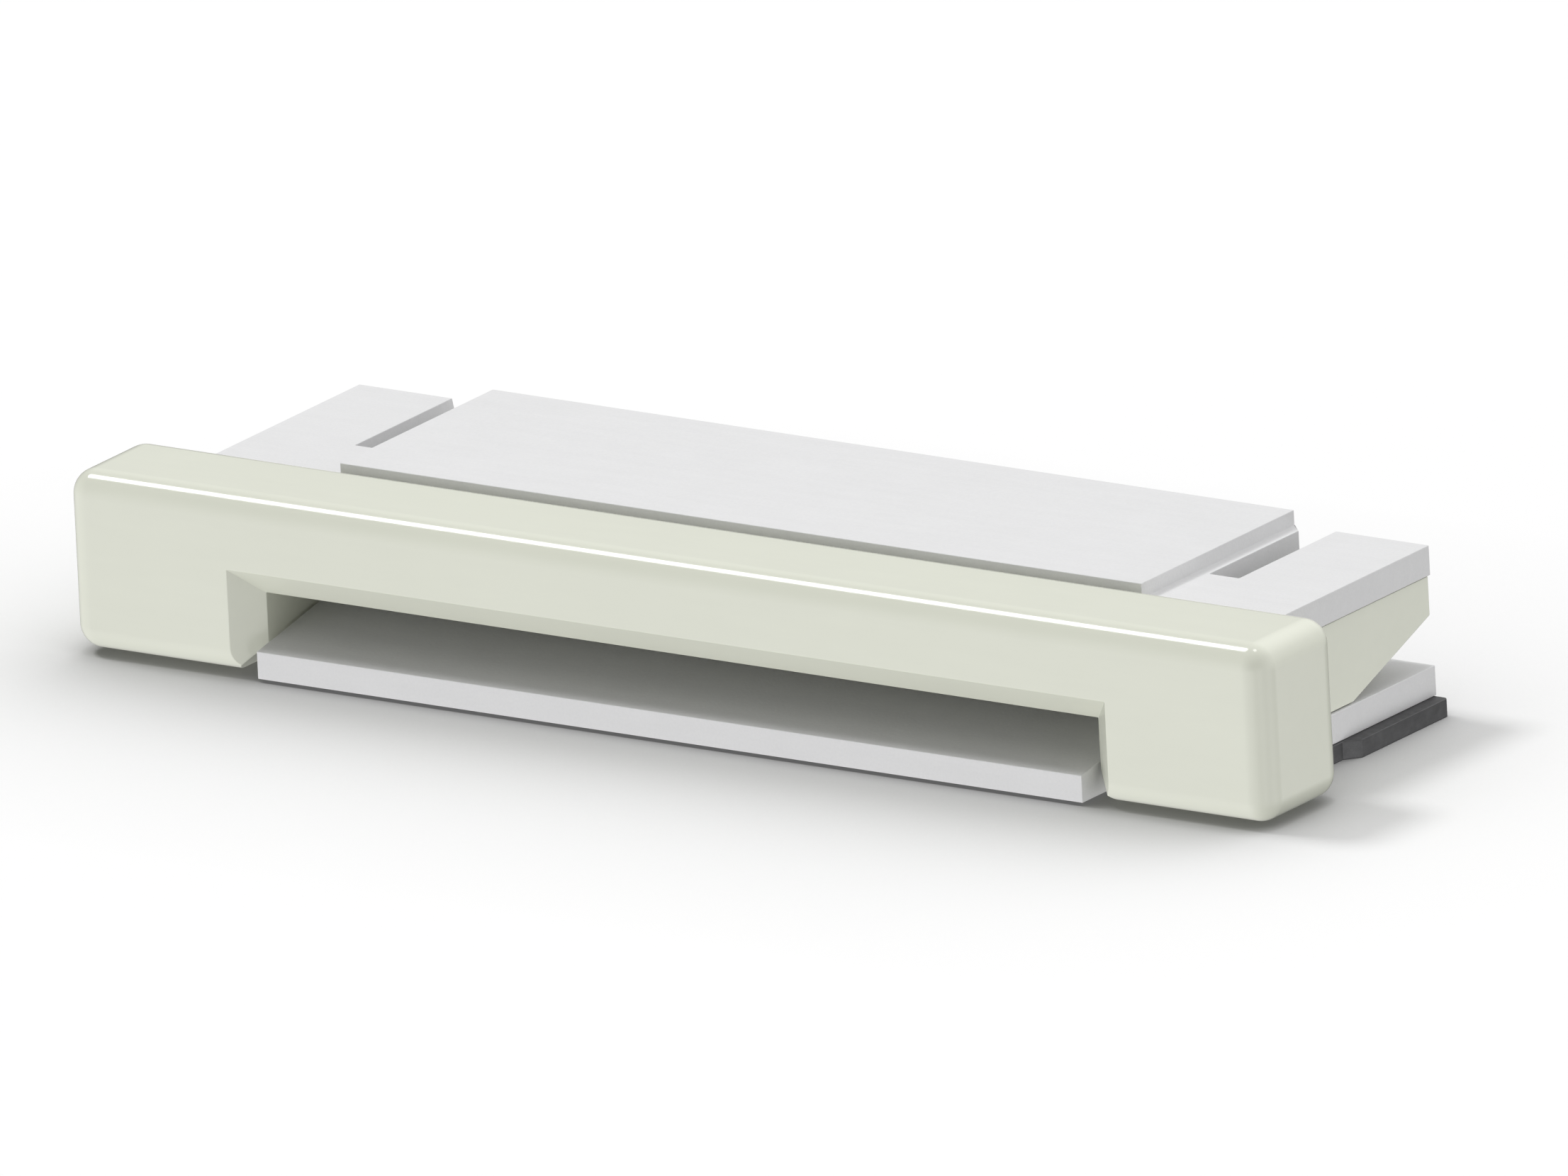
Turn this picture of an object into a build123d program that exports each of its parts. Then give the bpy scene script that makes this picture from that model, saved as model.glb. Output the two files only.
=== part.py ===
from build123d import *
import math
import os

# Low-profile circuit board connector for flat flexible cable: a housing with a sliding lock bar,
# stamped fork contacts on a fine pitch and two solder pegs. All sizes are in millimetres.
# X runs along the row of contacts, the cable enters from -Y, and Z = 0 is the board.
# "Depth" is measured forwards, towards the cable, from the rear face of the housing.

# Contact row and cable
PITCH = 0.5
POSITIONS = 20
CABLE_WIDTH = 10.5
CABLE_THICKNESS = 0.3
CABLE_SIDE_PLAY = 0.05
CABLE_TOP_PLAY = 0.015

# Housing, seen from the front
HOUSING_WIDTH = 13.63
CENTRE_WIDTH = 10.51
PAD_WIDTH = 10.21
HOUSING_BOTTOM_Z = 0.04
WING_BOTTOM_Z = 0.2
WING_TOP_Z = 0.53
CABLE_FLOOR_Z = 0.59
ARM_UNDERSIDE_Z = 1.527
DECK_Z = 1.856
PAD_STEP = 0.167

# Housing, seen from the side
HOUSING_DEPTH = 2.892
LIP_LENGTH = 1.502
LIP_FRONT_THICKNESS = 0.3
LIP_RAMP_ANGLE = 10.4
LIP_ROOT = 0.3
CABLE_STOP_DEPTH = 1.85

# Rear notches that free the two housing arms from the centre body
NOTCH_DEPTH = 1.838
NOTCH_WIDTH = 0.377
NOTCH_LEAN_ANGLE = 12.0
CENTRE_CORNER_CHAMFER = 0.148
SHOULDER_WIDTH = 0.605
SHOULDER_LEAD_IN = 0.12
MOUTH_LEAD_IN = 0.06

# Slots for the contacts
SLOT_SIDE_CLEARANCE = 0.01
SLOT_FLOOR_Z = 0.2
SLOT_CEILING_Z = 1.6
SLOT_FRONT_WALL = 0.14

# Slider
SLIDER_WIDTH = 15.27
SLIDER_BAR_DEPTH = 1.432
SLIDER_BOTTOM_Z = 0.05
SLIDER_TOP_Z = 2.025
SLIDER_ROUNDING = 0.275
SLIDER_GAP = 0.064
SLIDER_TRAVEL = 0.8
SLIDER_STOP_GAP = 0.01
WINDOW_SIDE_GAP = 0.045
WINDOW_CHAMFER = 0.297
WINDOW_FOOT_CHAMFER = 0.297
TONGUE_THICKNESS = 0.33
TONGUE_REACH = 1.0
TONGUE_SIDE_GAP = 0.1
TONGUE_TOP_GAP = 0.025
TONGUE_NOSE_LENGTH = 0.4
TONGUE_NOSE_THICKNESS = 0.14
TONGUE_BACK_CHAMFER = 0.04
SLIDER_ARM_SIDE_GAP = 0.027
SLIDER_ARM_INSET = 0.028
SLIDER_ARM_RUNNING_GAP = 0.015
SLIDER_ARM_END_GAP = 0.007
SLIDER_ARM_HEEL_HEIGHT = 0.43
SLIDER_ARM_HEEL_LENGTH = 1.495
LUG_HEIGHT = 0.26
LUG_LENGTH = 0.45
LUG_FLAT = 0.16
LUG_TALL = 0.5

# Contact, stamped from strip: heights above the board and depths from the rear face
CONTACT_THICKNESS = 0.2
FOOT_LENGTH = 0.7
FOOT_THICKNESS = 0.18
HEEL_GAP = 0.04
HEEL_WIDTH = 0.2
HEEL_TOP_Z = 0.5
BASE_INSET = 0.05
BASE_LENGTH = 0.5
BASE_STEP = 0.08
CONTACT_BARB_HEIGHT = 0.03
CONTACT_BARB_LENGTH = 0.12
CONTACT_BARB_SETBACK = 0.1
THROAT_DEPTH = 0.8
BEAM_HEIGHT = 0.2
BEAM_TIP_HEIGHT = 0.13
LOWER_BEAM_LIFT = 0.08
LOWER_BEAM_TIP_LIFT = 0.15
UPPER_BEAM_DROP = 0.05
UPPER_BEAM_TIP_DROP = 0.12
BEAM_END_GAP = 0.09
BUMP_RISE = 0.11
BUMP_DEPTH = 2.42
BUMP_LENGTH = 0.16
BUMP_RUN_OUT = 0.24
NUB_DROP = 0.01
THROAT_ROUNDING = 0.12
BUMP_ROUNDING = 0.05
HEEL_ROUNDING = 0.06

# Solder pegs
PEG_THICKNESS = 0.2
PEG_REACH = 0.17
PEG_NECK_REACH = 0.03
PEG_REAR_GAP = 0.03
PEG_JOG_DEPTH = 1.664
PEG_JOG_LENGTH = 0.16
PEG_FRONT_GAP = 0.06
PEG_CORNER_ROUNDING = 0.05
PEG_REAR_INSET = 0.73
PEG_BLADE_INSET = 0.19
PEG_BLADE_HEIGHT = 1.1
PEG_BLADE_LENGTH = 0.7
PEG_BLADE_SETBACK = 0.2
PEG_BLADE_TIP = 0.08
PEG_BARB_DEPTH = 0.03
PEG_BARB_HEIGHT = 0.2
PEG_BARB_Z = 0.7
PEG_BEND_ROUNDING = 0.18
PEG_SLOT_CLEARANCE = 0.01

# Places worked out from the sizes above
REAR_Y = (HOUSING_DEPTH + LIP_LENGTH - FOOT_LENGTH) / 2
PAD_Z = DECK_Z + PAD_STEP
CENTRE_X = CENTRE_WIDTH / 2
HOUSING_X = HOUSING_WIDTH / 2
SHOULDER_X = CENTRE_X + SHOULDER_WIDTH
MOUTH_X = CABLE_WIDTH / 2 + CABLE_SIDE_PLAY
LIP_FRONT_DEPTH = HOUSING_DEPTH + LIP_LENGTH
LIP_TOP_Z = HOUSING_BOTTOM_Z + LIP_FRONT_THICKNESS
TONGUE_BOTTOM_Z = CABLE_FLOOR_Z + CABLE_THICKNESS + CABLE_TOP_PLAY
TONGUE_TOP_Z = TONGUE_BOTTOM_Z + TONGUE_THICKNESS
MOUTH_CEILING_Z = TONGUE_TOP_Z + TONGUE_TOP_GAP
SLOT_WIDTH = CONTACT_THICKNESS + 2 * SLOT_SIDE_CLEARANCE
SLOT_FRONT_DEPTH = HOUSING_DEPTH - SLOT_FRONT_WALL
SLIDER_BACK_DEPTH = HOUSING_DEPTH + SLIDER_GAP
SLIDER_FRONT_DEPTH = SLIDER_BACK_DEPTH + SLIDER_BAR_DEPTH
WINDOW_X = CENTRE_X + WINDOW_SIDE_GAP
SLIDER_ARM_OUTER_X = HOUSING_X - SLIDER_ARM_INSET
SLIDER_ARM_INNER_X = SHOULDER_X + SLIDER_ARM_SIDE_GAP
SLIDER_ARM_BOTTOM_Z = WING_TOP_Z + SLIDER_ARM_RUNNING_GAP
SLIDER_ARM_TOP_Z = ARM_UNDERSIDE_Z - SLIDER_ARM_RUNNING_GAP
PEG_BLADE_X = CENTRE_X + PEG_BLADE_INSET
PEG_FRONT_DEPTH = HOUSING_DEPTH - PEG_FRONT_GAP
CUT_PAST = 0.1


def y_at(depth):
    """Y of a point that lies this far in front of the housing's rear face."""
    return REAR_Y - depth


def block(x_from, x_to, depth_from, depth_to, z_from, z_to):
    """Rectangular block between two X, two depths and two heights."""
    size_y = depth_to - depth_from
    centre = ((x_from + x_to) / 2, y_at((depth_from + depth_to) / 2), (z_from + z_to) / 2)
    return Pos(*centre) * Box(x_to - x_from, size_y, z_to - z_from)


def side_outline(points):
    """Face in the YZ plane from (depth, height) points."""
    outline = Polyline(*[(y_at(depth), z) for depth, z in points], close=True)
    return Plane.YZ * make_face(outline)


def side_prism(points, x_from, x_to):
    """Solid with a (depth, height) outline, running between two X."""
    return Pos(x_from, 0, 0) * extrude(side_outline(points), amount=x_to - x_from, dir=(1, 0, 0))


def plan_prism(points, z_from, z_to):
    """Solid with an (X, depth) outline, running between two heights."""
    outline = make_face(Polyline(*[(x, y_at(depth)) for x, depth in points], close=True))
    return Pos(0, 0, z_from) * extrude(outline, amount=z_to - z_from, dir=(0, 0, 1))


def front_prism(points, depth_from, depth_to):
    """Solid with an (X, height) outline, running between two depths."""
    outline = Plane.XZ * make_face(Polyline(*points, close=True))
    return Pos(0, y_at(depth_from), 0) * extrude(outline, amount=depth_to - depth_from, dir=(0, -1, 0))


def both_sides(shape):
    """The shape with its mirror image on the other side of the YZ plane."""
    return shape + mirror(shape, about=Plane.YZ)


def contact_places():
    """X of each contact, from the left to the right."""
    first = -PITCH * (POSITIONS - 1) / 2
    return [first + PITCH * place for place in range(POSITIONS)]


def centre_body():
    """Middle of the housing with chamfered rear corners and the pick-up pad on its deck."""
    chamfer_depth = CENTRE_CORNER_CHAMFER
    outline = [
        (-CENTRE_X, HOUSING_DEPTH),
        (CENTRE_X, HOUSING_DEPTH),
        (CENTRE_X, chamfer_depth),
        (CENTRE_X - CENTRE_CORNER_CHAMFER, 0),
        (-CENTRE_X + CENTRE_CORNER_CHAMFER, 0),
        (-CENTRE_X, chamfer_depth),
    ]
    body = plan_prism(outline, HOUSING_BOTTOM_Z, DECK_Z)
    pad = block(-PAD_WIDTH / 2, PAD_WIDTH / 2, 0, HOUSING_DEPTH, DECK_Z, PAD_Z)
    return body + pad


def lip():
    """Floor that runs out under the cable, with a ramp that rises to the cable floor."""
    root_depth = HOUSING_DEPTH - LIP_ROOT
    ramp_length = (CABLE_FLOOR_Z - LIP_TOP_Z) / math.tan(math.radians(LIP_RAMP_ANGLE))
    outline = [
        (root_depth, HOUSING_BOTTOM_Z),
        (LIP_FRONT_DEPTH, HOUSING_BOTTOM_Z),
        (LIP_FRONT_DEPTH, LIP_TOP_Z),
        (LIP_FRONT_DEPTH - ramp_length, CABLE_FLOOR_Z),
        (root_depth, CABLE_FLOOR_Z),
    ]
    return side_prism(outline, -CENTRE_X, CENTRE_X)


def shoulder():
    """Block beside the cable mouth: it guides the slider's arm and catches its lug."""
    outline = [
        (CENTRE_X, NOTCH_DEPTH),
        (SHOULDER_X, NOTCH_DEPTH),
        (SHOULDER_X, HOUSING_DEPTH - SHOULDER_LEAD_IN),
        (SHOULDER_X - SHOULDER_LEAD_IN / 2, HOUSING_DEPTH),
        (CENTRE_X, HOUSING_DEPTH),
    ]
    return plan_prism(outline, WING_BOTTOM_Z, DECK_Z)


def housing_arm():
    """Arm on deck level over the slider's arm, parted from the centre body by a rear notch."""
    arm = block(CENTRE_X, HOUSING_X, 0, HOUSING_DEPTH, ARM_UNDERSIDE_Z, DECK_Z)
    lean = (DECK_Z - ARM_UNDERSIDE_Z) * math.tan(math.radians(NOTCH_LEAN_ANGLE))
    notch_outline = [
        (CENTRE_X, ARM_UNDERSIDE_Z),
        (CENTRE_X + NOTCH_WIDTH - lean, ARM_UNDERSIDE_Z),
        (CENTRE_X + NOTCH_WIDTH, DECK_Z),
        (CENTRE_X, DECK_Z),
    ]
    return arm - front_prism(notch_outline, 0, NOTCH_DEPTH)


def cable_mouth():
    """Room for the cable's end and the slider's tongue, with lead-ins at its two sides."""
    depth_out = HOUSING_DEPTH + CUT_PAST
    outline = [
        (-MOUTH_X, CABLE_STOP_DEPTH),
        (MOUTH_X, CABLE_STOP_DEPTH),
        (MOUTH_X, HOUSING_DEPTH - MOUTH_LEAD_IN),
        (MOUTH_X + MOUTH_LEAD_IN + CUT_PAST, depth_out),
        (-MOUTH_X - MOUTH_LEAD_IN - CUT_PAST, depth_out),
        (-MOUTH_X, HOUSING_DEPTH - MOUTH_LEAD_IN),
    ]
    return plan_prism(outline, CABLE_FLOOR_Z, MOUTH_CEILING_Z)


def contact_slot(x):
    """Slot that holds one contact, open at the rear."""
    return block(
        x - SLOT_WIDTH / 2, x + SLOT_WIDTH / 2, -CUT_PAST, SLOT_FRONT_DEPTH, SLOT_FLOOR_Z, SLOT_CEILING_Z
    )


def peg_slot():
    """Slot in the shoulder for the peg's upright blade."""
    depth_front = PEG_FRONT_DEPTH - PEG_BLADE_SETBACK
    return block(
        PEG_BLADE_X - PEG_SLOT_CLEARANCE,
        PEG_BLADE_X + PEG_THICKNESS + PEG_SLOT_CLEARANCE,
        depth_front - PEG_BLADE_LENGTH - PEG_BARB_DEPTH,
        depth_front + PEG_BARB_DEPTH,
        WING_BOTTOM_Z,
        PEG_THICKNESS + PEG_BLADE_HEIGHT + PEG_SLOT_CLEARANCE,
    )


def housing():
    """One moulding: centre body, lip, wings under the slider's arms, shoulders and upper arms."""
    wings = block(-HOUSING_X, HOUSING_X, 0, HOUSING_DEPTH, WING_BOTTOM_Z, WING_TOP_Z)
    body = centre_body() + lip() + wings + both_sides(shoulder() + housing_arm())
    body -= cable_mouth()
    body -= both_sides(peg_slot())
    body -= [contact_slot(x) for x in contact_places()]
    return body


def slider_bar():
    """Rounded bar across the front, with ears past the housing for a fingernail."""
    bar = block(
        -SLIDER_WIDTH / 2,
        SLIDER_WIDTH / 2,
        SLIDER_BACK_DEPTH,
        SLIDER_FRONT_DEPTH,
        SLIDER_BOTTOM_Z,
        SLIDER_TOP_Z,
    )
    return fillet(bar.edges(), SLIDER_ROUNDING)


def slider_window():
    """Cable window, open below, that widens to the front on three sides like a funnel and again at its foot."""
    straight = block(
        -WINDOW_X,
        WINDOW_X,
        SLIDER_BACK_DEPTH - CUT_PAST,
        SLIDER_FRONT_DEPTH + CUT_PAST,
        -CUT_PAST,
        TONGUE_BOTTOM_Z,
    )
    front_y = y_at(SLIDER_FRONT_DEPTH)
    funnel_height = TONGUE_BOTTOM_Z + WINDOW_CHAMFER + CUT_PAST
    large = Plane(origin=(0, front_y, -CUT_PAST), x_dir=(1, 0, 0), z_dir=(0, -1, 0))
    small = large.offset(-WINDOW_CHAMFER)
    at_bottom = (Align.CENTER, Align.MIN)
    wide = large * Rectangle(2 * (WINDOW_X + WINDOW_CHAMFER), funnel_height, align=at_bottom)
    narrow = small * Rectangle(2 * WINDOW_X, funnel_height - WINDOW_CHAMFER, align=at_bottom)
    foot_x = WINDOW_X + WINDOW_FOOT_CHAMFER + CUT_PAST
    foot_outline = [
        (-WINDOW_X, SLIDER_BOTTOM_Z + WINDOW_FOOT_CHAMFER),
        (WINDOW_X, SLIDER_BOTTOM_Z + WINDOW_FOOT_CHAMFER),
        (foot_x, SLIDER_BOTTOM_Z - CUT_PAST),
        (-foot_x, SLIDER_BOTTOM_Z - CUT_PAST),
    ]
    foot = front_prism(foot_outline, SLIDER_BACK_DEPTH - CUT_PAST, SLIDER_FRONT_DEPTH + CUT_PAST)
    return straight + loft([wide.face(), narrow.face()]) + foot


def slider_tongue():
    """Wedge that presses the cable down on the contacts when the slider is shut."""
    nose_depth = HOUSING_DEPTH - TONGUE_REACH
    outline = [
        (SLIDER_BACK_DEPTH + SLIDER_ROUNDING, TONGUE_BOTTOM_Z),
        (SLIDER_BACK_DEPTH + SLIDER_ROUNDING, TONGUE_TOP_Z),
        (nose_depth + TONGUE_BACK_CHAMFER, TONGUE_TOP_Z),
        (nose_depth, TONGUE_TOP_Z - TONGUE_BACK_CHAMFER),
        (nose_depth, TONGUE_TOP_Z - TONGUE_NOSE_THICKNESS),
        (nose_depth + TONGUE_NOSE_LENGTH, TONGUE_BOTTOM_Z),
    ]
    half_width = MOUTH_X - TONGUE_SIDE_GAP
    return side_prism(outline, -half_width, half_width)


def slider_arm():
    """Guide arm that runs back between the wing and the housing's arm, with a catch lug inside."""
    outline = [
        (SLIDER_BACK_DEPTH + SLIDER_ROUNDING, SLIDER_ARM_TOP_Z),
        (SLIDER_BACK_DEPTH + SLIDER_ROUNDING, SLIDER_ARM_BOTTOM_Z),
        (SLIDER_ARM_END_GAP + SLIDER_ARM_HEEL_LENGTH, SLIDER_ARM_BOTTOM_Z),
        (SLIDER_ARM_END_GAP, SLIDER_ARM_TOP_Z - SLIDER_ARM_HEEL_HEIGHT),
        (SLIDER_ARM_END_GAP, SLIDER_ARM_TOP_Z),
    ]
    arm = side_prism(outline, SLIDER_ARM_INNER_X, SLIDER_ARM_OUTER_X)
    catch_depth = NOTCH_DEPTH - SLIDER_TRAVEL - SLIDER_STOP_GAP
    lug_outline = [
        (SLIDER_ARM_INNER_X, catch_depth),
        (SLIDER_ARM_INNER_X - LUG_HEIGHT, catch_depth),
        (SLIDER_ARM_INNER_X - LUG_HEIGHT, catch_depth - LUG_FLAT),
        (SLIDER_ARM_INNER_X, catch_depth - LUG_LENGTH),
    ]
    return arm + plan_prism(lug_outline, SLIDER_ARM_TOP_Z - LUG_TALL, SLIDER_ARM_TOP_Z)


def slider():
    """One moulding: bar with its window, wedge tongue and two guide arms."""
    return slider_bar() - slider_window() + slider_tongue() + both_sides(slider_arm())


def contact_outline():
    """Side view of one fork contact: foot, heel, base and its two beams."""
    base_front = BASE_INSET + BASE_LENGTH
    tip = SLOT_FRONT_DEPTH - BEAM_END_GAP
    lower_root = SLOT_FLOOR_Z + LOWER_BEAM_LIFT
    lower_tip = SLOT_FLOOR_Z + LOWER_BEAM_TIP_LIFT
    upper_root = SLOT_CEILING_Z - UPPER_BEAM_DROP
    upper_tip = SLOT_CEILING_Z - UPPER_BEAM_TIP_DROP
    bump_top = CABLE_FLOOR_Z + BUMP_RISE
    bump_back = BUMP_DEPTH - BUMP_LENGTH
    bump_root = bump_back - BUMP_RUN_OUT
    nub = MOUTH_CEILING_Z - NUB_DROP
    base_top = SLOT_CEILING_Z - CONTACT_BARB_HEIGHT
    barb_toe = base_front - CONTACT_BARB_SETBACK
    barb_heel = barb_toe - CONTACT_BARB_LENGTH
    points = {
        "foot_end_low": (-FOOT_LENGTH, 0),
        "foot_front": (-HEEL_GAP, 0),
        "heel_front": (-HEEL_GAP, SLOT_FLOOR_Z),
        "base_low": (base_front, SLOT_FLOOR_Z),
        "lower_root_low": (base_front + BASE_STEP, lower_root),
        "lower_tip_low": (bump_root, lower_tip),
        "lower_end_low": (tip, lower_tip + BEAM_TIP_HEIGHT / 2),
        "lower_end_high": (tip, lower_tip + BEAM_TIP_HEIGHT + BASE_STEP / 2),
        "bump_front": (BUMP_DEPTH, bump_top),
        "bump_back": (bump_back, bump_top),
        "bump_root": (bump_root, lower_tip + BEAM_TIP_HEIGHT),
        "throat_low": (THROAT_DEPTH, lower_root + BEAM_HEIGHT),
        "throat_high": (THROAT_DEPTH, upper_root - BEAM_HEIGHT),
        "nub_root": (bump_root, upper_tip - BEAM_TIP_HEIGHT),
        "nub_back": (bump_back, nub),
        "nub_front": (BUMP_DEPTH, nub),
        "upper_end_low": (tip, upper_tip - BEAM_TIP_HEIGHT),
        "upper_end_high": (tip, upper_tip - BEAM_TIP_HEIGHT / 2),
        "upper_tip_high": (bump_root, upper_tip),
        "upper_root_high": (base_front + BASE_STEP, upper_root),
        "base_high": (base_front, base_top),
        "barb_toe": (barb_toe, base_top),
        "barb_tip": (barb_heel, SLOT_CEILING_Z),
        "barb_heel": (barb_heel, base_top),
        "base_rear_high": (BASE_INSET, base_top),
        "base_rear_low": (BASE_INSET, HEEL_TOP_Z),
        "heel_top": (-HEEL_GAP, HEEL_TOP_Z),
        "heel_back": (-HEEL_GAP - HEEL_WIDTH, HEEL_TOP_Z - HEEL_WIDTH / 2),
        "foot_top": (-HEEL_GAP - HEEL_WIDTH, FOOT_THICKNESS),
        "foot_end_high": (-FOOT_LENGTH, FOOT_THICKNESS),
    }
    return points


def rounded_contact_face():
    """Contact outline with the rounded throat, bump, nub and heel that the press tool leaves."""
    points = contact_outline()
    face = side_outline(points.values())
    roundings = {
        THROAT_ROUNDING: ["throat_low", "throat_high"],
        BUMP_ROUNDING: ["bump_front", "bump_back", "nub_front", "nub_back"],
        HEEL_ROUNDING: ["heel_back", "foot_top", "foot_front"],
    }
    for radius, names in roundings.items():
        for name in names:
            depth, z = points[name]
            corner = face.vertices().sort_by_distance((0, y_at(depth), z))[0]
            face = fillet(corner, radius)
    return face


def contacts():
    """One contact for each place in the row."""
    blank = extrude(rounded_contact_face(), amount=CONTACT_THICKNESS, dir=(1, 0, 0))
    return [Pos(x - CONTACT_THICKNESS / 2, 0, 0) * blank for x in contact_places()]


def peg_plate():
    """Flat solder plate under the wing: wide at the rear, jogged in to a neck at the front."""
    outer = HOUSING_X + PEG_REACH
    neck = HOUSING_X + PEG_NECK_REACH
    inner_rear = CENTRE_X + PEG_REAR_INSET
    inner_front = PEG_BLADE_X + PEG_THICKNESS / 2
    neck_depth = PEG_JOG_DEPTH + PEG_JOG_LENGTH
    outline = [
        (outer, PEG_REAR_GAP),
        (outer, PEG_JOG_DEPTH),
        (neck, neck_depth),
        (neck, PEG_FRONT_DEPTH),
        (inner_front, PEG_FRONT_DEPTH),
        (inner_front, neck_depth),
        (inner_rear, PEG_JOG_DEPTH),
        (inner_rear, PEG_REAR_GAP),
    ]
    plate = plan_prism(outline, 0, PEG_THICKNESS)
    upright = plate.edges().filter_by(Axis.Z)
    rear_corners = upright.group_by(Axis.Y)[-1]
    front_corners = upright.group_by(Axis.Y)[0]
    return fillet(rear_corners + front_corners, PEG_CORNER_ROUNDING)


def peg_blade():
    """Upright blade bent up from the plate, with a barb on each edge that bites in the shoulder."""
    depth_front = PEG_FRONT_DEPTH - PEG_BLADE_SETBACK
    depth_back = depth_front - PEG_BLADE_LENGTH
    top = PEG_THICKNESS + PEG_BLADE_HEIGHT
    barb_top = PEG_BARB_Z + PEG_BARB_HEIGHT
    blade_outline = [
        (depth_front, 0),
        (depth_front, PEG_BARB_Z),
        (depth_front + PEG_BARB_DEPTH, PEG_BARB_Z),
        (depth_front, barb_top),
        (depth_front, top - PEG_BLADE_TIP),
        (depth_front - PEG_BLADE_TIP, top),
        (depth_back + PEG_BLADE_TIP, top),
        (depth_back, top - PEG_BLADE_TIP),
        (depth_back, barb_top),
        (depth_back - PEG_BARB_DEPTH, PEG_BARB_Z),
        (depth_back, PEG_BARB_Z),
        (depth_back, 0),
    ]
    blade = side_prism(blade_outline, PEG_BLADE_X, PEG_BLADE_X + PEG_THICKNESS)
    bend = blade.edges().filter_by(Axis.Y).group_by(Axis.Z)[0].sort_by(Axis.X)[0]
    return fillet(bend, PEG_BEND_ROUNDING)


def solder_peg():
    """Right-hand solder peg in one stamped and bent piece."""
    return peg_plate() + peg_blade()


def write(shape, name):
    """Writes one node's STEP file."""
    export_step(shape, f"parts/{name}.step")


def main():
    os.makedirs("parts", exist_ok=True)
    write(housing(), "housing")
    write(slider(), "slider")
    right_peg = solder_peg()
    write(right_peg, "solder_peg_right")
    write(mirror(right_peg, about=Plane.YZ), "solder_peg_left")
    for number, contact in enumerate(contacts(), start=1):
        write(contact, f"contact_{number:02d}")


main()
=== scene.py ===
import math

import bmesh
import bpy
from mathutils import Matrix, Vector

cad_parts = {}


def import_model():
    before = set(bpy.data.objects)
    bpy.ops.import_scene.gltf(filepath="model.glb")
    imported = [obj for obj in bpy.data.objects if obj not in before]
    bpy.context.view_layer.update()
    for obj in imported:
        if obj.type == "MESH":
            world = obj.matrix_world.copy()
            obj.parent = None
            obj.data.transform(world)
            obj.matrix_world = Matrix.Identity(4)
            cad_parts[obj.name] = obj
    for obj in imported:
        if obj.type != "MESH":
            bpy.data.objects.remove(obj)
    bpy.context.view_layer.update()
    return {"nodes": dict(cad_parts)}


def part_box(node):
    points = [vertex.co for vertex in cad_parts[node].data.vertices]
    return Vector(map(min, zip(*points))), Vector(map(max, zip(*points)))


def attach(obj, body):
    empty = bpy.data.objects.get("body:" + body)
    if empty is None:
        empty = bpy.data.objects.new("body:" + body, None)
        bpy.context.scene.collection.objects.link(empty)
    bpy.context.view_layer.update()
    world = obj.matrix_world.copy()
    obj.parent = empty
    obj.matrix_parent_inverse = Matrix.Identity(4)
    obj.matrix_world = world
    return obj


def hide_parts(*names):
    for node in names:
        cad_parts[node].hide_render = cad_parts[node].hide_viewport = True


# Looks of a low-profile connector for flat flexible cable: rounded edges, finishes, studio and camera.
# The frame is in metres. Meshes are made in millimetres and scaled down at the end.
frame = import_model()
MM = 0.001

# Camera: parallel projection, fitted to the photograph's edges
PHOTO_WIDTH_PX = 2212
PHOTO_HEIGHT_PX = 1659
PIXELS_PER_MM = 133.63325
CAMERA_AZIMUTH = 34.82886
CAMERA_ELEVATION = 17.01668
CAMERA_ROLL = 2.94649
REAR_CENTRE_PIXEL = (1273.54, 892.36)
CAMERA_DISTANCE = 300 * MM
CAMERA_CLIP_FACTOR = 100

# Edges of the moulded and stamped pieces, in millimetres and degrees
MOULDED_EDGE = 0.008
STAMPED_EDGE = 0.008
EDGE_SEGMENTS = 2
EDGE_ANGLE = 25.0
SAME_POINT = 0.0004
FLAT_ANGLE = 0.4
MOST_CORNERS = 4
LARGE_FACE_WEIGHT = 100

# Slider, in millimetres: depth is measured forwards from the rear face of the housing
SLIDER_BAR_DEPTH = 1.432
SLIDER_ROUNDING = 0.275
ROUNDING_SEGMENTS = 18
ROUNDING_PROFILE = 0.5
WINDOW_X = 5.3
WINDOW_CEILING_Z = 0.905
WINDOW_CHAMFER = 0.297
WINDOW_FOOT_CHAMFER = 0.297
TONGUE_X = 5.2
TONGUE_TOP_Z = 1.235
TONGUE_NOSE_DEPTH = 1.892
TONGUE_NOSE_LENGTH = 0.4
TONGUE_NOSE_THICKNESS = 0.14
TONGUE_BACK_CHAMFER = 0.04
ARM_INNER_X = 5.887
ARM_OUTER_X = 6.787
ARM_BOTTOM_Z = 0.545
ARM_TOP_Z = 1.512
ARM_END_DEPTH = 0.007
ARM_HEEL_HEIGHT = 0.43
ARM_HEEL_LENGTH = 1.495
LUG_CATCH_DEPTH = 1.028
LUG_HEIGHT = 0.26
LUG_LENGTH = 0.45
LUG_FLAT = 0.16
LUG_TALL = 0.5
CUT_PAST = 0.2

# Finishes: base colour, range of roughness, and how much longer than wide the rolled grain is
HOUSING_COLOUR = (0.8, 0.8, 0.805)
HOUSING_ROUGHNESS = (0.5, 0.62)
HOUSING_SPECULAR = 0.35
SLIDER_COLOUR = (0.8, 0.818, 0.706)
SLIDER_ROUGHNESS = (0.12, 0.15)
SLIDER_IOR = 1.5
PEG_COLOUR = (0.105, 0.105, 0.107)
PEG_ROUGHNESS = (0.32, 0.45)
PEG_GRAIN_LENGTH = 14
CONTACT_COLOUR = (0.56, 0.54, 0.48)
CONTACT_ROUGHNESS = (0.42, 0.54)
CONTACT_GRAIN_LENGTH = 10
NOISE_MIDDLE = (0.3, 0.7)

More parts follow.
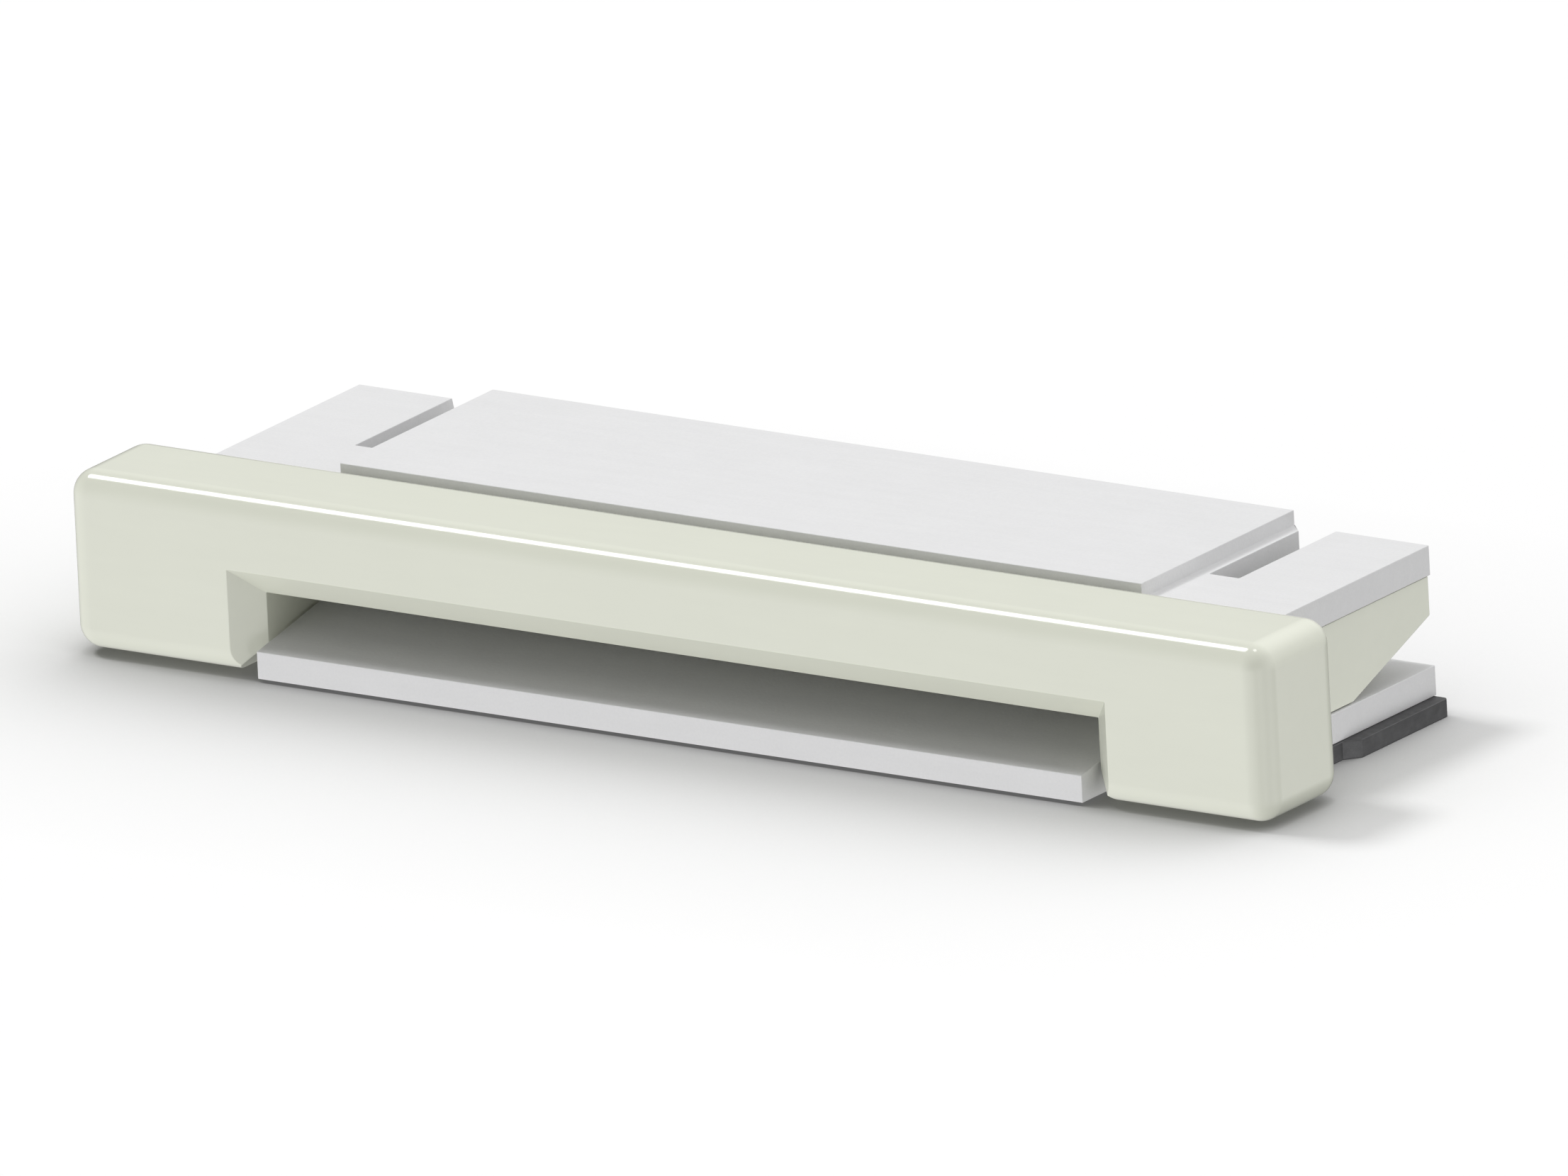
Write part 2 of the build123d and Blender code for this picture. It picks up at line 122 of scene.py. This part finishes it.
# Studio: the key lamp draws the bright line along the slider, and the top lamp its round end at the corner.
# Each sky light is (direction, strength, sharpness). The sharp ones are panels that the slider mirrors.
FLOOR_HALF_WIDTH = 600 * MM
FLOOR_COLOUR = (0.99, 0.99, 0.99)
FLOOR_SHADOW_REACH = 6 * MM
FLOOR_SHADOW_SAMPLES = 16
FLOOR_SHADOW_SOFTNESS = 0.72
FLOOR_SHADOW_DARKEST = 0.3
KEY_DIRECTION = (-0.546, -0.007, 0.838)
KEY_STRENGTH = 1.04
KEY_ANGLE = 15.0
TOP_DIRECTION = (0.02, 0.05, 1.0)
TOP_STRENGTH = 0.3
TOP_ANGLE = 12.0
SKY_LIGHTS = (
    ((0.0, 0.0, 1.0), 0.52, 4.0),
    ((0.0, 1.0, 1.0), 1.8, 4.0),
    ((1.0, 0.6, 0.3), 0.8, 4.0),
    ((1.0, 0.0, 0.1), 0.7, 4.0),
    ((0.3, -0.9, -0.3), 0.9, 20.0),
    ((0.8, -0.55, -0.3), 1.4, 20.0),
    ((0.95, 0.1, -0.3), 0.9, 20.0),
    ((-0.5, -1.0, -0.4), 2.45, 4.0),
    ((-0.8, 0.0, -0.6), 1.05, 4.0),
    ((0.55, 0.78, -0.3), 1.0, 60.0),
)
LAMP_BOUNCES = 1
SKY_BOUNCES = 0

# Places on the CAD model that the slider and the camera are measured from. The tongue and the arms start
# inside the bar, at the root depth.
HOUSING_REAR_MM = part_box("housing")[1].y / MM
SLIDER_LOW_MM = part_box("slider")[0] / MM
SLIDER_HIGH_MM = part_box("slider")[1] / MM
BAR_BACK_MM = SLIDER_LOW_MM.y + SLIDER_BAR_DEPTH
ROOT_DEPTH = HOUSING_REAR_MM - BAR_BACK_MM + SLIDER_ROUNDING


def new_object(name, mesh):
    """Object in the scene's own collection."""
    made = bpy.data.objects.new(name, mesh)
    bpy.context.scene.collection.objects.link(made)
    return made


def mesh_object(name, points, faces):
    """Closed mesh with its faces turned outwards."""
    mesh = bpy.data.meshes.new(name)
    mesh.from_pydata(points, [], faces)
    work = bmesh.new()
    work.from_mesh(mesh)
    bmesh.ops.recalc_face_normals(work, faces=work.faces)
    work.to_mesh(mesh)
    work.free()
    return new_object(name, mesh)


def loft(name, rings):
    """Solid through rings of points, each with as many points as the one before it."""
    count = len(rings[0])
    points = [point for ring in rings for point in ring]
    last = len(points) - count
    faces = []
    for start in range(0, last, count):
        for i in range(count):
            after = (i + 1) % count
            faces.append((start + i, start + after, start + count + after, start + count + i))
    faces += [tuple(range(count)), tuple(range(last, len(points)))]
    return mesh_object(name, points, faces)


def side_prism(name, outline, x_from, x_to):
    """Solid with a (depth, height) outline, running between two X."""
    rings = [[(x, HOUSING_REAR_MM - depth, z) for depth, z in outline] for x in (x_from, x_to)]
    return loft(name, rings)


def plan_prism(name, outline, z_from, z_to):
    """Solid with an (X, depth) outline, running between two heights."""
    rings = [[(x, HOUSING_REAR_MM - depth, z) for x, depth in outline] for z in (z_from, z_to)]
    return loft(name, rings)


def apply_modifiers(made):
    """Replaces an object's mesh by what its modifiers make of it."""
    bpy.context.view_layer.update()
    graph = bpy.context.evaluated_depsgraph_get()
    changed = made.evaluated_get(graph)
    mesh = bpy.data.meshes.new_from_object(changed, preserve_all_data_layers=True, depsgraph=graph)
    made.modifiers.clear()
    made.data = mesh
    return made


def combine(made, other, operation):
    """Cuts or joins the other solid, which is then removed."""
    change = made.modifiers.new(operation, "BOOLEAN")
    change.operation = operation
    change.solver = "EXACT"
    change.object = other
    apply_modifiers(made)
    bpy.data.objects.remove(other)
    return made


def tidy_mesh(made):
    """Welds points that coincide and redraws flat regions with faces of few corners."""
    work = bmesh.new()
    work.from_mesh(made.data)
    bmesh.ops.remove_doubles(work, verts=work.verts, dist=SAME_POINT)
    bmesh.ops.dissolve_limit(work, angle_limit=math.radians(FLAT_ANGLE), verts=work.verts, edges=work.edges)
    many_sided = [face for face in work.faces if len(face.verts) > MOST_CORNERS]
    bmesh.ops.triangulate(work, faces=many_sided, quad_method="BEAUTY", ngon_method="BEAUTY")
    bmesh.ops.recalc_face_normals(work, faces=work.faces)
    for face in work.faces:
        face.smooth = True
    work.to_mesh(made.data)
    work.free()
    return made


def round_edges(made, width):
    """Small rounding on each sharp edge, with normals that keep the faces flat."""
    bevel = made.modifiers.new("edges", "BEVEL")
    bevel.width = width
    bevel.segments = EDGE_SEGMENTS
    bevel.limit_method = "ANGLE"
    bevel.angle_limit = math.radians(EDGE_ANGLE)
    bevel.use_clamp_overlap = False
    bevel.loop_slide = False
    bevel.miter_outer = "MITER_ARC"
    weighted = made.modifiers.new("normals", "WEIGHTED_NORMAL")
    weighted.keep_sharp = False
    weighted.weight = LARGE_FACE_WEIGHT
    return apply_modifiers(made)


def finish_mesh(made, edge_width):
    """Tidies a mesh made in millimetres, rounds its edges and turns it into metres."""
    round_edges(tidy_mesh(made), edge_width)
    made.data.transform(Matrix.Scale(MM, 4))
    made.data.update()
    return made


def dressed_copy(node, edge_width):
    """Copy of a CAD node with rounded edges, which stands for it."""
    piece = new_object(f"{node}_finished", frame["nodes"][node].data.copy())
    piece.data.materials.clear()
    piece.data.transform(Matrix.Scale(1 / MM, 4))
    finish_mesh(piece, edge_width)
    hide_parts(node)
    return piece


def rounded_bar():
    """Slider bar with the same rounding on all its edges."""
    low = SLIDER_LOW_MM
    high = Vector((SLIDER_HIGH_MM.x, BAR_BACK_MM, SLIDER_HIGH_MM.z))
    work = bmesh.new()
    bmesh.ops.create_cube(work, size=1)
    bmesh.ops.scale(work, vec=high - low, verts=work.verts)
    bmesh.ops.translate(work, vec=(high + low) / 2, verts=work.verts)
    bmesh.ops.bevel(
        work,
        geom=work.edges[:],
        offset=SLIDER_ROUNDING,
        segments=ROUNDING_SEGMENTS,
        profile=ROUNDING_PROFILE,
        affect="EDGES",
    )
    mesh = bpy.data.meshes.new("slider_bar")
    work.to_mesh(mesh)
    work.free()
    return new_object("slider_bar", mesh)


def window_cutter():
    """Cable window with a funnel at the front, as one solid with a level bottom."""
    steps = [
        (-CUT_PAST, WINDOW_X + WINDOW_CHAMFER + CUT_PAST, WINDOW_CEILING_Z + WINDOW_CHAMFER + CUT_PAST),
        (WINDOW_CHAMFER, WINDOW_X, WINDOW_CEILING_Z),
        (SLIDER_BAR_DEPTH + CUT_PAST, WINDOW_X, WINDOW_CEILING_Z),
    ]
    rings = []
    for inwards, half_width, top in steps:
        y = SLIDER_LOW_MM.y + inwards
        corners = ((-half_width, -CUT_PAST), (half_width, -CUT_PAST), (half_width, top), (-half_width, top))
        rings.append([(x, y, z) for x, z in corners])
    return loft("window", rings)


def window_foot_cutter():
    """Slanted relief along the window's two lower edges."""
    top_z = SLIDER_LOW_MM.z + WINDOW_FOOT_CHAMFER
    foot_x = WINDOW_X + WINDOW_FOOT_CHAMFER + CUT_PAST
    foot_z = SLIDER_LOW_MM.z - CUT_PAST
    corners = ((-WINDOW_X, top_z), (WINDOW_X, top_z), (foot_x, foot_z), (-foot_x, foot_z))
    ends = (SLIDER_LOW_MM.y - CUT_PAST, BAR_BACK_MM + CUT_PAST)
    return loft("window_foot", [[(x, y, z) for x, z in corners] for y in ends])


def tongue():
    """Wedge that slides over the cable, with its nose to the rear."""
    outline = [
        (ROOT_DEPTH, WINDOW_CEILING_Z),
        (ROOT_DEPTH, TONGUE_TOP_Z),
        (TONGUE_NOSE_DEPTH + TONGUE_BACK_CHAMFER, TONGUE_TOP_Z),
        (TONGUE_NOSE_DEPTH, TONGUE_TOP_Z - TONGUE_BACK_CHAMFER),
        (TONGUE_NOSE_DEPTH, TONGUE_TOP_Z - TONGUE_NOSE_THICKNESS),
        (TONGUE_NOSE_DEPTH + TONGUE_NOSE_LENGTH, WINDOW_CEILING_Z),
    ]
    return side_prism("tongue", outline, -TONGUE_X, TONGUE_X)


def arm(side):
    """Guide arm on one side, from inside the bar to its slanted heel."""
    outline = [
        (ROOT_DEPTH, ARM_TOP_Z),
        (ROOT_DEPTH, ARM_BOTTOM_Z),
        (ARM_END_DEPTH + ARM_HEEL_LENGTH, ARM_BOTTOM_Z),
        (ARM_END_DEPTH, ARM_TOP_Z - ARM_HEEL_HEIGHT),
        (ARM_END_DEPTH, ARM_TOP_Z),
    ]
    return side_prism("arm", outline, *sorted((side * ARM_INNER_X, side * ARM_OUTER_X)))


def lug(side):
    """Catch lug on the inside of an arm."""
    root_x = ARM_INNER_X + LUG_HEIGHT / 2
    tip_x = ARM_INNER_X - LUG_HEIGHT
    end_depth = LUG_CATCH_DEPTH - LUG_LENGTH
    outline = [
        (side * root_x, LUG_CATCH_DEPTH),
        (side * tip_x, LUG_CATCH_DEPTH),
        (side * tip_x, LUG_CATCH_DEPTH - LUG_FLAT),
        (side * ARM_INNER_X, end_depth),
        (side * root_x, end_depth),
    ]
    return plan_prism("lug", outline, ARM_TOP_Z - LUG_TALL, ARM_TOP_Z)


def slider():
    """One ivory moulding: smooth bar, window, tongue, arms and lugs."""
    piece = combine(rounded_bar(), window_cutter(), "DIFFERENCE")
    combine(piece, window_foot_cutter(), "DIFFERENCE")
    combine(piece, tongue(), "UNION")
    for side in (-1, 1):
        combine(piece, combine(arm(side), lug(side), "UNION"), "UNION")
    piece.name = "slider_finished"
    finish_mesh(piece, MOULDED_EDGE)
    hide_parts("slider")
    return piece


def shader(name):
    """Empty node material with its Principled shader and output."""
    made = bpy.data.materials.new(name)
    made.use_nodes = True
    tree = made.node_tree
    tree.nodes.clear()
    output = tree.nodes.new("ShaderNodeOutputMaterial")
    principled = tree.nodes.new("ShaderNodeBsdfPrincipled")
    tree.links.new(principled.outputs["BSDF"], output.inputs["Surface"])
    return made, tree, principled


def noise(tree, size_mm, detail, stretch=(1, 1, 1)):
    """Noise with features of a real size; stretch lengthens them along an axis."""
    place = tree.nodes.new("ShaderNodeTexCoord")
    mapping = tree.nodes.new("ShaderNodeMapping")
    mapping.inputs["Scale"].default_value = [1 / (size_mm * MM * along) for along in stretch]
    texture = tree.nodes.new("ShaderNodeTexNoise")
    texture.inputs["Scale"].default_value = 1
    texture.inputs["Detail"].default_value = detail
    tree.links.new(place.outputs["Object"], mapping.inputs["Vector"])
    tree.links.new(mapping.outputs["Vector"], texture.inputs["Vector"])
    return texture.outputs["Fac"]


def spread(tree, factor, low, high):
    """Maps the middle of a noise to a range."""
    mapped = tree.nodes.new("ShaderNodeMapRange")
    mapped.inputs["From Min"].default_value = NOISE_MIDDLE[0]
    mapped.inputs["From Max"].default_value = NOISE_MIDDLE[1]
    mapped.inputs["To Min"].default_value = low
    mapped.inputs["To Max"].default_value = high
    tree.links.new(factor, mapped.inputs["Value"])
    return mapped.outputs["Result"]


def uneven(tree, factor, change):
    """Number that follows a noise, by this much to either side of 1."""
    return spread(tree, factor, 1 - change, 1 + change)


def math_node(tree, operation, first, second):
    """One step of arithmetic on two numbers or sockets."""
    step = tree.nodes.new("ShaderNodeMath")
    step.operation = operation
    for socket, value in zip(step.inputs, (first, second)):
        if isinstance(value, bpy.types.NodeSocket):
            tree.links.new(value, socket)
        else:
            socket.default_value = value
    return step.outputs[0]


def shaded(tree, colour, *factors):
    """Colour made lighter or darker by one or more factors round 1."""
    shade = factors[0]
    for factor in factors[1:]:
        shade = math_node(tree, "MULTIPLY", shade, factor)
    scale = tree.nodes.new("ShaderNodeVectorMath")
    scale.operation = "SCALE"
    scale.inputs[0].default_value = colour
    tree.links.new(shade, scale.inputs["Scale"])
    return scale.outputs["Vector"]


def bump(tree, height, depth_mm, under=None):
    """Relief of a real depth; under is a bump that it adds to."""
    made = tree.nodes.new("ShaderNodeBump")
    made.inputs["Strength"].default_value = 1
    made.inputs["Distance"].default_value = depth_mm * MM
    tree.links.new(height, made.inputs["Height"])
    if under is not None:
        tree.links.new(under, made.inputs["Normal"])
    return made.outputs["Normal"]


def dress_shader(tree, principled, colour, roughness, relief):
    """Links a finish's three textures to its shader."""
    tree.links.new(colour, principled.inputs["Base Color"])
    tree.links.new(roughness, principled.inputs["Roughness"])
    tree.links.new(relief, principled.inputs["Normal"])


def housing_plastic():
    """Light grey filled plastic: spark-eroded grain and faint flow marks along the row."""
    made, tree, principled = shader("housing_plastic")
    mottle = uneven(tree, noise(tree, size_mm=0.9, detail=3), change=0.008)
    flow = uneven(tree, noise(tree, size_mm=0.12, detail=4, stretch=(9, 1, 1)), change=0.01)
    speck = uneven(tree, noise(tree, size_mm=0.03, detail=2), change=0.015)
    colour = shaded(tree, HOUSING_COLOUR, mottle, flow, speck)
    roughness = spread(tree, noise(tree, size_mm=0.25, detail=4), *HOUSING_ROUGHNESS)
    grain = bump(tree, noise(tree, size_mm=0.035, detail=3), depth_mm=0.0016)
    waves = bump(tree, noise(tree, size_mm=0.5, detail=2), depth_mm=0.0012, under=grain)
    dress_shader(tree, principled, colour, roughness, waves)
    principled.inputs["Specular IOR Level"].default_value = HOUSING_SPECULAR
    return made


def slider_plastic():
    """Ivory plastic with a soft gloss, slightly uneven as moulded surfaces are."""
    made, tree, principled = shader("slider_plastic")
    mottle = uneven(tree, noise(tree, size_mm=1.4, detail=3), change=0.007)
    flow = uneven(tree, noise(tree, size_mm=0.16, detail=3, stretch=(7, 1, 1)), change=0.006)
    colour = shaded(tree, SLIDER_COLOUR, mottle, flow)
    roughness = spread(tree, noise(tree, size_mm=0.2, detail=4), *SLIDER_ROUGHNESS)
    peel = bump(tree, noise(tree, size_mm=0.3, detail=2), depth_mm=0.0004)
    haze = bump(tree, noise(tree, size_mm=0.02, detail=2), depth_mm=0.00008, under=peel)
    dress_shader(tree, principled, colour, roughness, haze)
    principled.inputs["IOR"].default_value = SLIDER_IOR
    return made


def metal(name, colour, roughness_range, grain_length):
    """Plated strip with rolled grain from front to rear and small pores."""
    made, tree, principled = shader(name)
    rolled = noise(tree, size_mm=0.012, detail=3, stretch=(1, grain_length, 1))
    cloud = uneven(tree, noise(tree, size_mm=0.3, detail=3), change=0.07)
    streak = uneven(tree, rolled, change=0.05)
    roughness = spread(tree, noise(tree, size_mm=0.08, detail=4), *roughness_range)
    fine = bump(tree, rolled, depth_mm=0.0005)
    pores = bump(tree, noise(tree, size_mm=0.06, detail=3), depth_mm=0.0005, under=fine)
    dress_shader(tree, principled, shaded(tree, colour, cloud, streak), roughness, pores)
    principled.inputs["Metallic"].default_value = 1
    return made


def paint(piece, material, body):
    """Gives a piece its finish and the body that carries it."""
    piece.data.materials.clear()
    piece.data.materials.append(material)
    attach(piece, body)


def dress_object():
    """Gives each piece its rounded edges and finish, on the body that carries it."""
    paint(dressed_copy("housing", MOULDED_EDGE), housing_plastic(), "body")
    paint(slider(), slider_plastic(), "lock_slider")
    peg = metal("peg_metal", PEG_COLOUR, PEG_ROUGHNESS, PEG_GRAIN_LENGTH)
    for side in ("left", "right"):
        paint(dressed_copy(f"solder_peg_{side}", STAMPED_EDGE), peg, "body")
    plated = metal("contact_metal", CONTACT_COLOUR, CONTACT_ROUGHNESS, CONTACT_GRAIN_LENGTH)
    for node in sorted(frame["nodes"]):
        if node.startswith("contact_"):
            paint(dressed_copy(node, STAMPED_EDGE), plated, "body")


def floor():
    """Plain pale floor at board level, which takes a soft contact shadow and lets light up from below."""
    half = FLOOR_HALF_WIDTH
    mesh = bpy.data.meshes.new("floor")
    corners = [(-half, -half, 0), (half, -half, 0), (half, half, 0), (-half, half, 0)]
    mesh.from_pydata(corners, [], [(0, 1, 2, 3)])
    made = new_object("floor", mesh)
    material, tree, principled = shader("floor")
    contact_shadow = tree.nodes.new("ShaderNodeAmbientOcclusion")
    contact_shadow.samples = FLOOR_SHADOW_SAMPLES
    contact_shadow.inputs["Distance"].default_value = FLOOR_SHADOW_REACH
    open_share = math_node(tree, "MAXIMUM", contact_shadow.outputs["AO"], FLOOR_SHADOW_DARKEST)
    softened = math_node(tree, "POWER", open_share, FLOOR_SHADOW_SOFTNESS)
    tree.links.new(shaded(tree, FLOOR_COLOUR, softened), principled.inputs["Base Color"])
    principled.inputs["Roughness"].default_value = 1
    principled.inputs["Specular IOR Level"].default_value = 0
    mesh.materials.append(material)
    made.visible_shadow = False
    made.visible_diffuse = False
    made.visible_glossy = False


def sun(name, direction, strength, angle):
    """Distant soft lamp that shines from a direction."""
    light = bpy.data.lights.new(name, "SUN")
    light.energy = strength
    light.angle = math.radians(angle)
    light.cycles.max_bounces = LAMP_BOUNCES
    made = new_object(name, light)
    made.rotation_mode = "QUATERNION"
    made.rotation_quaternion = Vector(direction).to_track_quat("Z", "Y")


def world():
    """Sky of a few wide soft lights, each strongest along its own direction."""
    made = bpy.data.worlds.new("studio")
    bpy.context.scene.world = made
    made.use_nodes = True
    made.cycles.max_bounces = SKY_BOUNCES
    tree = made.node_tree
    tree.nodes.clear()
    place = tree.nodes.new("ShaderNodeTexCoord")
    sky = tree.nodes.new("ShaderNodeBackground")
    output = tree.nodes.new("ShaderNodeOutputWorld")
    total = 0.0
    for direction, strength, sharpness in SKY_LIGHTS:
        toward = tree.nodes.new("ShaderNodeVectorMath")
        toward.operation = "DOT_PRODUCT"
        toward.inputs[1].default_value = Vector(direction).normalized()
        tree.links.new(place.outputs["Generated"], toward.inputs[0])
        facing = math_node(tree, "MAXIMUM", toward.outputs["Value"], 0.0)
        lobe = math_node(tree, "POWER", facing, sharpness)
        total = math_node(tree, "ADD", math_node(tree, "MULTIPLY", lobe, strength), total)
    tree.links.new(total, sky.inputs["Strength"])
    tree.links.new(sky.outputs["Background"], output.inputs["Surface"])


def camera():
    """Parallel camera at the photograph's angle, roll and scale."""
    azimuth = math.radians(CAMERA_AZIMUTH)
    elevation = math.radians(CAMERA_ELEVATION)
    roll = math.radians(CAMERA_ROLL)
    level_right = Vector((math.cos(azimuth), math.sin(azimuth), 0))
    level_back = Vector((math.sin(azimuth), -math.cos(azimuth), 0))
    back = level_back * math.cos(elevation) + Vector((0, 0, math.sin(elevation)))
    level_up = back.cross(level_right)
    right = level_right * math.cos(roll) - level_up * math.sin(roll)
    up = level_right * math.sin(roll) + level_up * math.cos(roll)
    metres_per_pixel = MM / PIXELS_PER_MM
    off_right = (PHOTO_WIDTH_PX / 2 - REAR_CENTRE_PIXEL[0]) * metres_per_pixel
    off_up = (REAR_CENTRE_PIXEL[1] - PHOTO_HEIGHT_PX / 2) * metres_per_pixel
    rear_centre = Vector((0, HOUSING_REAR_MM * MM, 0))
    data = bpy.data.cameras.new("camera")
    data.type = "ORTHO"
    data.ortho_scale = PHOTO_WIDTH_PX * metres_per_pixel
    data.clip_start = CAMERA_DISTANCE / CAMERA_CLIP_FACTOR
    data.clip_end = CAMERA_DISTANCE * CAMERA_CLIP_FACTOR
    made = new_object("camera", data)
    turn = Matrix((right, up, back)).transposed().to_4x4()
    place = rear_centre + right * off_right + up * off_up + back * CAMERA_DISTANCE
    made.matrix_world = Matrix.Translation(place) @ turn
    bpy.context.scene.camera = made


dress_object()
floor()
sun("key", KEY_DIRECTION, KEY_STRENGTH, KEY_ANGLE)
sun("top", TOP_DIRECTION, TOP_STRENGTH, TOP_ANGLE)
world()
camera()
bpy.context.scene.view_settings.view_transform = "Standard"
